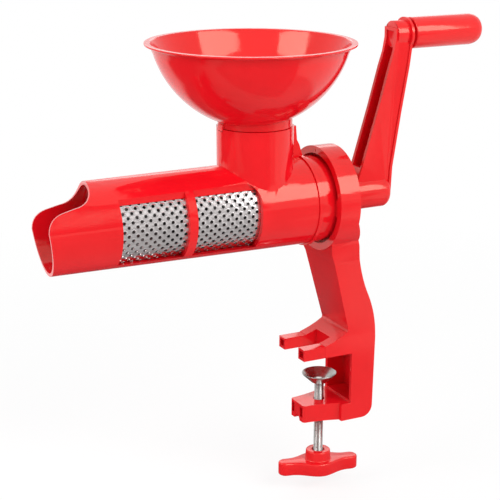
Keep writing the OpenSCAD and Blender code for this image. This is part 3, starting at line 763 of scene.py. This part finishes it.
@dataclass
class Housing:
    """The moulded tube with its scoop, windows and chimney, the perforated sieve and the shaft seal."""

    sieve_r: float = 31.0
    sheet: float = 0.6
    margin: float = 2.5
    pitch: float = 7.1
    rows: int = 56
    hole_r: float = 1.36
    lip: float = 0.26
    crest_w: float = 0.16
    foot_w: float = 0.8
    scallop_r: float = 28.3

    @property
    def step(self) -> float:
        """Angle from one row of holes to the next."""
        return 2 * math.pi / self.rows

    def cell_rings(self) -> tuple[Rows, Rows]:
        """The rings of one hole's cell as offsets along X and round the tube, and their heights.

        Ring 0 is the cell's rectangle, then the dished foot, the crest and the edge of the hole,
        its lower edge, and the rectangle again on the inside. Each ring has 12 points. Their spokes
        are turned towards X, which evens out a cell that is longer than wide.

        Returns:
            Offsets (rings, 12, 2) in millimetres and heights (rings,) above the sheet's outside.
        """
        half = np.array([self.pitch, self.step * self.sieve_r]) / 2
        xs = np.array([-2, -1, 0, 1, 2, 2, 2, 1, 0, -1, -2, -2]) / 2
        ts = np.array([-1, -1, -1, -1, -1, 0, 1, 1, 1, 1, 1, 0])
        towards_x = 1.6
        angle = np.arctan2(ts, xs * towards_x)
        spoke = np.stack([np.cos(angle), np.sin(angle)], axis=1)
        border, hole = np.stack([xs, ts], axis=1) * half, spoke * self.hole_r
        foot, crest = spoke * (self.hole_r + self.foot_w), spoke * (self.hole_r + self.crest_w)
        heights = np.array([0.0, 0.0, self.lip, self.lip * 0.9, -self.sheet, -self.sheet])
        return np.stack([border, foot, crest, hole, hole, border]), heights

    def cells(self, start: float, count: int) -> Shell:
        """Staggered rows of punched holes with raised rims, as (station, angle, radius) points.

        Cell (k, i) sits at angle k and station i, shifted half a pitch on odd rows. A point of it lies
        at radius R + height, at the cell's angle plus its offset over R.

        Args:
            start: where the even rows start.
            count: number of cells in a row.

        Returns:
            Points and quads.
        """
        rings, heights = self.cell_rings()
        k, i = np.meshgrid(np.arange(self.rows), np.arange(count), indexing="ij")
        middle = start + (i + 0.5 + 0.5 * (k % 2)) * self.pitch
        x = middle[..., None, None] + rings[..., 0]
        angle = (k * self.step)[..., None, None] + rings[..., 1] / self.sieve_r
        points = np.stack(np.broadcast_arrays(x, angle, self.sieve_r + heights[:, None]), axis=-1)
        return alike(points.reshape(k.size, -1, 3), grid_quads(*rings.shape[:2], False, True))

    def strips(self, marks: Sequence[float], odd: int, height: float) -> Shell:
        """Plain sheet between every other row's holes and the edge, as (station, angle, radius) points.

        Args:
            marks: stations of the strip's points.
            odd: 1 for the odd rows and 0 for the even ones.
            height: 0 for the sheet's outside, negative for its inside.

        Returns:
            Points and quads.
        """
        rows = np.arange(odd, self.rows, 2)
        x, side = np.meshgrid(marks, np.array([-0.5, 0.0, 0.5]) * self.step, indexing="ij")
        angle = rows[:, None, None] * self.step + side
        points = np.stack(np.broadcast_arrays(x, angle, self.sieve_r + height), axis=-1)
        quads = grid_quads(*x.shape, False, False)
        return alike(points.reshape(len(rows), -1, 3), quads[:, ::-1] if height < 0 else quads)

    def band(self, x: float, rear: bool) -> Shell:
        """The sheet's cut edge, as (station, angle, radius) points on its outer and its inner radius.

        Args:
            x: the edge's station.
            rear: whether it faces +X.

        Returns:
            Points and quads.
        """
        angle = np.arange(self.rows * 2) * self.step / 2
        radius = np.array([[self.sieve_r], [self.sieve_r - self.sheet]])
        points = np.stack(np.broadcast_arrays(x, angle, radius), axis=-1)
        quads = grid_quads(2, len(angle), False, True)
        return points.reshape(-1, 3), quads if rear else quads[:, ::-1]

    def sieve(self, x0: float, x1: float) -> Shell:
        """A perforated sheet rolled into a tube.

        Stations beyond the scallop under the chimney are pulled back to the scallop's edge.

        Args:
            x0: the sheet's front edge.
            x1: its rear edge.

        Returns:
            Points and quads.
        """
        half, quarter = self.pitch / 2, self.pitch / 4
        count = int((x1 - x0 - 2 * self.margin - half) / self.pitch)
        start = x0 + self.margin
        far = start + count * self.pitch + half
        front = [x0, start], [x0, start, start + quarter, start + half]
        rear = [far - half, far - quarter, far, x1], [far, x1]
        parts = [self.cells(start, count)]
        for x, marks in ((x0, front), (x1, rear)):
            parts += [self.strips(marks[odd], odd, height) for odd in (0, 1) for height in (0.0, -self.sheet)]
            parts.append(self.band(x, marks is rear))
        points, quads = joined(parts)
        station, angle, radius = points.T
        y, z = -radius * np.cos(angle), radius * np.sin(angle)
        edge = NECK_X - np.sqrt(np.clip(self.scallop_r**2 - y**2, 0, None))
        under = (z > 0) & (np.abs(y) < self.scallop_r)
        station = np.where(under, np.minimum(station, edge), station)
        return np.stack([station, y, z + AXIS_H], axis=1), quads

    def build(self, palette: Palette) -> None:
        """Dresses the tube moulding, rolls the sieve and seats the seal.

        Args:
            palette: the mill's finishes.
        """
        moulding("housing", "mill_tube", 0.45, palette.red, "housing")
        lo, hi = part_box("sieve_cylinder")
        sieve = skin("sieve_sheet", [self.sieve(lo.x / MM, hi.x / MM)])
        merge_points(sieve.data, CLOSE)
        finish_shading(sieve.data, 40.0)
        dress(sieve, palette.sheet, "housing", "sieve_cylinder")
        moulding("shaft_seal", "seal_ring", 0.3, palette.rubber, "housing")


@dataclass
class Drive:
    """The auger with its shaft, bearing, washer and circlip."""

    lead: float = 34.0
    flight_r: float = 29.8
    core_r: float = 10.0
    edge_r: float = 1.5
    run_in: float = 0.6
    flight_end: float = -35.0
    shoulder_x: float = -30.5
    steps_a_turn: int = 60

    def flight(self, x0: float, x1: float) -> Shell:
        """The auger's flight: a tapered rib with a round edge, wound left-handed round the core.

        At turn angle a the rib's section stands at station x0 + lead * a / 2 pi, and a section point
        (r, s) lies at radius r and s further along the axis. Over the run-in angle at both ends the
        rib rises as 1/4 + 3/4 sqrt(share) of its height.

        Args:
            x0: where the flight starts.
            x1: where it ends.

        Returns:
            Points and quads.
        """
        a = np.linspace(-np.pi / 2, np.pi / 2, 7)
        tip = np.stack([self.flight_r + self.edge_r * (np.cos(a) - 1), self.edge_r * np.sin(a)], axis=1)
        section = np.vstack([[self.core_r, -3.4], [13.0, -2.3], tip, [13.0, 2.3], [self.core_r, 3.4]])
        turns = (x1 - x0) / self.lead
        a = np.linspace(0, 2 * np.pi * turns, int(turns * self.steps_a_turn))[:, None]
        share = np.minimum(1.0, np.minimum(a, a[-1] - a) / self.run_in)
        r = self.core_r + (section[:, 0] - self.core_r) * (0.25 + 0.75 * np.sqrt(share))
        x = x0 + self.lead * a / (2 * np.pi) + section[:, 1]
        rib = np.stack([x, -r * np.cos(a), r * np.sin(a) + AXIS_H], axis=-1)
        middles = np.broadcast_to(rib[[0, -1]].mean(axis=1, keepdims=True), (2, *rib.shape[1:]))
        points = np.concatenate([middles[:1], rib, middles[1:]])
        return points.reshape(-1, 3), poled_quads(*points.shape[:2])

    def core(self, x0: float, x1: float) -> Shell:
        """The auger's turned core with its bevelled nose, its journal and the shaft's bore.

        Args:
            x0: front end.
            x1: rear end.

        Returns:
            Points and quads.
        """
        nose, tail, bore = x0 + 0.5, x1 - 0.05, x1 - 30.0
        body = [[0, nose], [13.0, nose], [15.4, x0 + 1.2], [16.0, x0 + 3.0]]
        step = [[11.2, self.shoulder_x - 0.3], [8.8, self.shoulder_x + 0.3]]
        journal = [[8.8, x1 - 0.6], [8.2, tail], [7.4, tail], [7.2, bore], [0, bore]]
        return turned(np.array(body + step + journal), (0, 0, AXIS_H), Along.X, 64)

    def build(self, palette: Palette) -> None:
        """Turns the core, winds the flight and dresses the bearing's small parts.

        Args:
            palette: the mill's finishes.
        """
        lo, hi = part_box("auger")
        x0, x1 = lo.x / MM, hi.x / MM
        parts = [self.core(x0, x1), self.flight(x0 + 5.0, self.flight_end)]
        dress(skin("auger_screw", parts), palette.auger, "rotor", "auger")
        moulding("drive_shaft", "drive_bar", 0.25, palette.bar, "rotor")
        moulding("retaining_clip", "circlip", 0.1, palette.bar, "rotor")
        moulding("shaft_bush", "bearing_bush", 0.2, palette.acetal, "stand")
        moulding("thrust_washer", "thrust_ring", 0.15, palette.acetal, "stand")


@dataclass
class Crank:
    """The crank moulding, its screw, and the grip on its pin."""

    grip_z: float = 259.9
    grip_r: float = 12.8
    collar_r: float = 8.8
    bore_r: float = 3.2
    recess_r: float = 6.8
    recess: float = 9.25
    nose_r: float = 5.4
    nose: float = 10.0

    FIXINGS = (
        ("crank_washer", "crank_disc"),
        ("crank_screw", "crank_bolt"),
        ("grip_pin", "grip_bolt"),
        ("grip_nut", "grip_hexagon"),
        ("grip_washer", "grip_disc"),
    )

    def grip(self) -> Shell:
        """The grip: a turned shell with a small collar at the arm, open at its pin's recess.

        Its nose is a quarter ellipse, (grip_r - nose_r (1 - cos a), x1 - nose (1 - sin a)).

        Returns:
            Points and quads.
        """
        lo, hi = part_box("grip_handle")
        x0, x1 = lo.x / MM, hi.x / MM
        a = np.linspace(0, np.pi / 2, 11)
        radius, station = self.grip_r - self.nose_r * (1 - np.cos(a)), x1 - self.nose * (1 - np.sin(a))
        nose = np.stack([radius, station, 0 * a], axis=1)
        loop = rounded_loop(
            (self.bore_r, x0, 0.2), (self.collar_r, x0, 0.3), (self.collar_r, x0 + 2.2, 0.3),
            (self.grip_r, x0 + 2.6, 1.2), (self.grip_r, x0 + 40, 0), *nose,
            (self.recess_r, x1, 0.3), (self.recess_r, x1 - self.recess, 0.2),
            (self.bore_r, x1 - self.recess, 0.2),
            steps=8,
        )
        return turned(loop, (0, 0, self.grip_z), Along.X)

    def build(self, palette: Palette) -> None:
        """Dresses the crank, turns the grip and dresses the fixings.

        Args:
            palette: the mill's finishes.
        """
        moulding("crank_arm", "crank_moulding", 0.5, palette.red, "rotor")
        dress(skin("grip_shell", [self.grip()]), palette.red, "grip", "grip_handle")
        for node, name in self.FIXINGS:
            moulding(node, name, 0.2, palette.zinc, "rotor")


@dataclass
class Stand:
    """The ring, leg and jaws, one moulding, with the nut in its lower jaw."""

    def build(self, palette: Palette) -> None:
        """Dresses the stand moulding and the nut."""
        moulding("stand_frame", "stand_moulding", 0.5, palette.red, "stand")
        moulding("clamp_nut", "jaw_nut", 0.2, palette.zinc, "stand")


@dataclass
class Clamp:
    """The screw with its thread, the cup on its tip and the winged knob."""

    thread_r: float = 4.0
    root_r: float = 3.4
    thread_pitch: float = 1.25
    thread_steps: int = 8
    thread_cols: int = 28
    wing_turn: float = -12.0
    wing_span: float = 35.0
    wing_r: float = 6.2
    middle_r: float = 15.0
    hub_h: float = 11.5
    tip_r: float = 2.6
    cup_hole_r: float = 2.66
    cup_t: float = 1.2

    def thread(self, z0: float, z1: float) -> Shell:
        """A rolled thread as a height field on a cylinder.

        At angle t and height z the radius swings between root and crest as a triangle wave of
        (z - pitch * t / 2 pi), softened at crest and root, and runs out to the root at both ends.

        Args:
            z0: lower end.
            z1: upper end.

        Returns:
            Points and quads.
        """
        rows, cols = int((z1 - z0) / self.thread_pitch * self.thread_steps), self.thread_cols
        t = np.linspace(0, 2 * np.pi, cols, endpoint=False)
        z, t = np.meshgrid(np.linspace(z0, z1, rows), t, indexing="ij")
        phase = (z - self.thread_pitch * t / (2 * np.pi)) / self.thread_pitch
        wave = np.clip(1.35 * (2 * np.abs(phase % 1.0 - 0.5)) - 0.2, 0, 1)
        end = np.clip(np.minimum(z - z0, z1 - z) / 0.9, 0, 1)
        r = self.root_r + (self.thread_r - self.root_r) * wave * end
        bar = np.stack([r * np.cos(t) + SCREW_X, r * np.sin(t), z], axis=-1)
        foot, head = bar[0].copy(), bar[-1].copy()
        foot[:, :2] = head[:, :2] = [SCREW_X, 0]
        return np.vstack([foot, bar.reshape(-1, 3), head]), poled_quads(rows + 2, cols)

    def knob_outline(self) -> Rows:
        """Plan of the knob: a round middle that eases into two wings with round ends.

        Half the width at distance x is w + (m - w)(1 + cos(pi x / waist)) / 2, and each end is a
        half circle of radius w.

        Returns:
            One (x, y) a row, counter-clockwise.
        """
        wing, reach, waist = self.wing_r, self.wing_span - self.wing_r, self.wing_span - 10.0
        x = np.linspace(reach, -reach, 61)
        width = wing + (self.middle_r - wing) * (0.5 + 0.5 * np.cos(np.pi * np.minimum(np.abs(x) / waist, 1)))
        turn = np.linspace(0, np.pi, 17)[1:-1]
        upper = np.stack([x, width], axis=1)
        left = np.stack([-reach - wing * np.sin(turn), wing * np.cos(turn)], axis=1)
        outline = np.vstack([upper, left, -upper, -left])
        a = math.radians(self.wing_turn)
        return outline @ np.array([[math.cos(a), math.sin(a)], [-math.sin(a), math.cos(a)]]) + [SCREW_X, 0]

    def knob(self, z0: float, z1: float) -> list[Shell]:
        """The knob's wings, a prism, and the stepped hub that the screw goes through, a turned piece.

        Args:
            z0: lower end.
            z1: upper end.

        Returns:
            Points and quads of each.
        """
        hub_z = z0 + self.hub_h
        steps = rounded_loop(
            (12.6, hub_z - 0.4, 0), (10.9, hub_z + 0.6, 1.0), (10.3, z1, 1.2), (5.2, z1, 0.6),
            (5.0, z1 - 3.0, 0),
        )
        foot, mouth = [[0, hub_z - 3.0], [11.8, hub_z - 3.0]], [[4.7, z1 - 2.6], [0, z1 - 2.6]]
        hub = turned(np.vstack([foot, steps[1:-1], mouth]), (SCREW_X, 0, 0), Along.Z, 72)
        return [prism(self.knob_outline(), z0, hub_z, 1.6), hub]

    def screw(self, z0: float, cup_z: float) -> list[Shell]:
        """The threaded bar and its riveted tip, turned, which goes through the cup.

        Args:
            z0: the bar's lower end.
            cup_z: the cup's underside.

        Returns:
            Points and quads of each.
        """
        foot, head = [0, cup_z - 1.0], [0, cup_z + 3.9]
        rivet = rounded_loop(
            (self.tip_r, cup_z - 1.0, 0), (self.tip_r, cup_z + 2.5, 0),
            (self.tip_r + 1.0, cup_z + 2.6, 0.2), (self.tip_r + 0.1, cup_z + 3.7, 0.6),
            (*head, 0),
        )
        tip = turned(np.vstack([foot, rivet[:-1], head]), (SCREW_X, 0, 0), Along.Z, 48)
        return [self.thread(z0, cup_z - 0.08), tip]

    def cup(self, z0: float, z1: float) -> Shell:
        """The pressed cup: a turned, dished sheet with a rolled rim and a hole for the screw's tip.

        Args:
            z0: its underside.
            z1: its rim's top.

        Returns:
            Points and quads.
        """
        loop = rounded_loop(
            (self.cup_hole_r, z0, 0.2), (6.5, z0, 1.4), (13.9, z1 - 1.8, 0.8),
            (14.7, z1 - 0.6, 0.5), (14.5, z1, 0.4), (13.3, z1 - 1.1, 0.8),
            (5.9, z0 + self.cup_t, 1.0), (self.cup_hole_r, z0 + self.cup_t, 0.2),
        )
        return turned(loop, (SCREW_X, 0, 0), Along.Z)

    def build(self, palette: Palette) -> None:
        """Moulds the knob, cuts the thread and presses the cup.

        Args:
            palette: the mill's finishes.
        """
        lo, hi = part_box("wing_knob")
        z0, z1 = lo.z / MM, hi.z / MM
        dress(skin("knob_wings", self.knob(z0, z1)), palette.red, "screw", "wing_knob")
        cup_lo, cup_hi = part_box("clamp_cup")
        c0, c1 = cup_lo.z / MM, cup_hi.z / MM
        dress(skin("screw_bar", self.screw(z0 + 3.5, c0), 50.0), palette.zinc, "screw", "clamp_screw")
        dress(skin("pressed_cup", [self.cup(c0, c1)]), palette.zinc, "cup", "clamp_cup")
        moulding("cup_washer", "cup_disc", 0.1, palette.zinc, "screw")


# ---- studio ----


def direction(az: float, el: float) -> Vector:
    """The unit vector at an azimuth, 0 towards -Y and positive towards +X, and an elevation in degrees."""
    a, e = math.radians(az), math.radians(el)
    return Vector((math.sin(a) * math.cos(e), -math.cos(a) * math.cos(e), math.sin(e)))


@dataclass(frozen=True)
class SoftBox:
    """A soft box that hangs in a direction from the mill and faces it, in degrees and metres.

    Its power is radiance * pi * area, which keeps what the gloss mirrors apart from its size. A
    radiance of 1 is the background's white.
    """

    name: str
    az: float
    el: float
    width: float
    height: float
    radiance: float
    distance: float = 1.5
    aim: Place = (-0.0765, 0.0, 0.235)

    def hang(self) -> None:
        """Makes the lamp."""
        data = bpy.data.lights.new(self.name, "AREA")
        data.shape = "RECTANGLE"
        data.size, data.size_y = self.width, self.height
        data.energy = self.radiance * math.pi * self.width * self.height
        back = direction(self.az, self.el)
        lamp = put(self.name, data)
        lamp.location = Vector(self.aim) + back * self.distance
        lamp.rotation_mode = "QUATERNION"
        lamp.rotation_quaternion = back.to_track_quat("Z", "Y")


@dataclass
class Studio:
    """A white floor and wall, three soft boxes, a dim card and the camera."""

    az: float = -27.2
    el: float = 16.15
    roll: float = 0.13
    eye: Place = (-578.29, -975.63, 412.69)
    focal_px: float = 1427.06
    frame_px: float = 500.0
    sensor: float = 36.0
    drop: float = 14.1
    floor_glow: float = 0.82
    table: float = 0.8
    room: float = 0.45
    flag_glow: float = 0.3

    BOXES = (
        SoftBox("front_box", 19.0, 28.5, 1.28, 0.88, 5.3),
        SoftBox("left_box", -89.5, 28.0, 0.94, 0.8, 5.5),
        SoftBox("back_box", 153.0, 17.0, 1.6, 0.3, 1.2),
    )

    @property
    def level(self) -> float:
        """The floor's height in metres: just below the knob at its lowest."""
        return CAD_BOX[0].z - self.drop * MM

    def camera(self) -> None:
        """Stands the camera at its eye point and turns it by azimuth, elevation and roll."""
        a, w = math.radians(self.az), math.radians(self.roll)
        right, back = Vector((math.cos(a), math.sin(a), 0)), direction(self.az, self.el)
        up = back.cross(right)
        right, up = right * math.cos(w) + up * math.sin(w), up * math.cos(w) - right * math.sin(w)
        data = bpy.data.cameras.new("studio_camera")
        data.sensor_width = self.sensor
        data.lens = self.focal_px / self.frame_px * self.sensor
        data.clip_start, data.clip_end = 0.05, 50.0
        camera = put("studio_camera", data)
        turn = Matrix((right, up, back)).transposed().to_4x4()
        camera.matrix_world = Matrix.Translation(Vector(self.eye) * MM) @ turn
        bpy.context.scene.camera = camera

    def sheet(self, name: str, corners: Sequence[Place], material: Material) -> Piece:
        """Stands one flat staging sheet.

        Args:
            name: the sheet's name.
            corners: its four corners in metres.
            material: its material.

        Returns:
            The sheet.
        """
        mesh = bpy.data.meshes.new(name)
        mesh.from_pydata(list(corners), [], [(0, 1, 2, 3)])
        mesh.materials.append(material)
        piece = put(name, mesh)
        return piece

    def floor(self) -> None:
        """A floor that is white with a faint shadow to the camera, and a dim table in front.

        What the gloss mirrors of it is white from 0.4 to 0.5 m away, where 0.9 x + 0.6 y is above
        -0.15 to -0.02 m. Elsewhere it falls from 0.52 in front of the mill to 0.12 behind it. To the
        camera the floor's own light takes over from the lamps' between 0.35 and 0.9 m, where the
        shadow has faded.
        """
        material = new_material("white_sweep")
        tree = material.node_tree
        rays = add_node(tree, "LightPath").outputs
        seen, glossy = rays["Is Camera Ray"], rays["Is Glossy Ray"]
        place = add_node(tree, "NewGeometry").outputs["Position"]
        tone = add_node(tree, "MapRange", {"To Min": self.table, "To Max": 0.9}, Value=seen)
        diffuse = add_node(tree, "BsdfDiffuse", Color=tone)
        along = add_node(tree, "VectorMath", {"operation": "DOT_PRODUCT", 1: (0.9, 0.6, 0.0)}, n0=place)
        edge = {"From Min": -0.15, "From Max": -0.02}
        side = add_node(tree, "MapRange", edge, Value=along.outputs["Value"])
        apart = add_node(tree, "VectorMath", {"operation": "DISTANCE", 1: (-0.13, 0.0, 0.0)}, n0=place)
        far = add_node(tree, "MapRange", {"From Min": 0.4, "From Max": 0.5}, Value=apart.outputs["Value"])
        white = add_node(tree, "Math", {"operation": "MINIMUM"}, n0=side, n1=far)
        depth = add_node(tree, "SeparateXYZ", Vector=place).outputs["Y"]
        fall = {"From Min": -0.1, "From Max": 0.1, "To Min": 0.52, "To Max": 0.12}
        dim = add_node(tree, "MapRange", fall, Value=depth)
        mirrored = add_node(tree, "Math", {"operation": "MAXIMUM"}, n0=white, n1=dim)
        strength = add_node(tree, "Math", {"operation": "MAXIMUM"}, n0=seen, n1=mirrored)
        glow = add_node(tree, "Emission", {"Color": grey(1.0)}, Strength=strength)
        reach = add_node(tree, "VectorMath", {"operation": "LENGTH"}, n0=place).outputs["Value"]
        rise = {"From Min": 0.35, "From Max": 0.9, "To Min": self.floor_glow, "To Max": 1.0}
        own = add_node(tree, "MapRange", rise, Value=reach)
        shown = add_node(tree, "Math", {"operation": "MULTIPLY"}, n0=seen, n1=own)
        share = add_node(tree, "Math", {"operation": "ADD"}, n0=shown, n1=glossy)
        mix = add_node(tree, "MixShader", Fac=share, n1=diffuse, n2=glow)
        add_node(tree, "OutputMaterial", Surface=mix)
        plan = ((-6, -6), (6, -6), (6, 6), (-6, 6))
        self.sheet("studio_floor", [(x, y, self.level) for x, y in plan], material)

    def backdrop(self) -> None:
        """A glowing white wall behind the mill, which its metal mirrors. It is clear from behind."""
        material = new_material("white_wall")
        tree = material.node_tree
        glow = add_node(tree, "Emission", {"Color": grey(1.0), "Strength": 1.0})
        clear = add_node(tree, "BsdfTransparent")
        behind = add_node(tree, "NewGeometry").outputs["Backfacing"]
        mix = add_node(tree, "MixShader", Fac=behind, n1=glow, n2=clear)
        add_node(tree, "OutputMaterial", Surface=mix)
        low, high, half, y = self.level, 2.2, 3.5, 1.6
        corners = [(-half, y, low), (half, y, low), (half, y, high), (-half, y, high)]
        self.sheet("studio_wall", corners, material)

    def world(self) -> None:
        """A room that is white to the camera, in mirrors and through glass, and softer as light."""
        world = bpy.data.worlds.new("white_room")
        world.use_nodes = True
        tree = world.node_tree
        tree.nodes.clear()
        diffuse = add_node(tree, "LightPath").outputs["Is Diffuse Ray"]
        strength = add_node(tree, "MapRange", {"To Min": 1.0, "To Max": self.room}, Value=diffuse)
        glow = add_node(tree, "Background", {"Color": grey(1.0)}, Strength=strength)
        add_node(tree, "OutputWorld", Surface=glow)
        bpy.context.scene.world = world

    def flag(self) -> None:
        """A dim card beside the spout that only mirrors see: it keeps the front box off the tube's side."""
        material = new_material("dim_card")
        tree = material.node_tree
        glow = add_node(tree, "Emission", {"Color": grey(1.0), "Strength": self.flag_glow})
        add_node(tree, "OutputMaterial", Surface=glow)
        plan = ((-0.3, 0.14), (-0.055, 0.14), (-0.075, 0.26), (-0.3, 0.26))
        card = self.sheet("studio_flag", [(x, -0.08, z) for x, z in plan], material)
        card.visible_camera = card.visible_shadow = card.visible_diffuse = False

    def build(self) -> None:
        """Sets the view transform and puts up everything round the mill."""
        bpy.context.scene.view_settings.view_transform = "Standard"
        self.camera()
        self.floor()
        self.backdrop()
        self.world()
        for box in self.BOXES:
            box.hang()
        self.flag()


def main() -> None:
    """Builds the mill's sub-assemblies in order, then the studio."""
    logging.basicConfig(level=logging.INFO, format="%(name)s %(message)s")
    palette = Palette()
    for part in (Stand(), Housing(), Hopper(), Drive(), Crank(), Clamp()):
        LOG.info("building %s", type(part).__name__)
        part.build(palette)
    Studio().build()


if __name__ == "__main__":
    main()
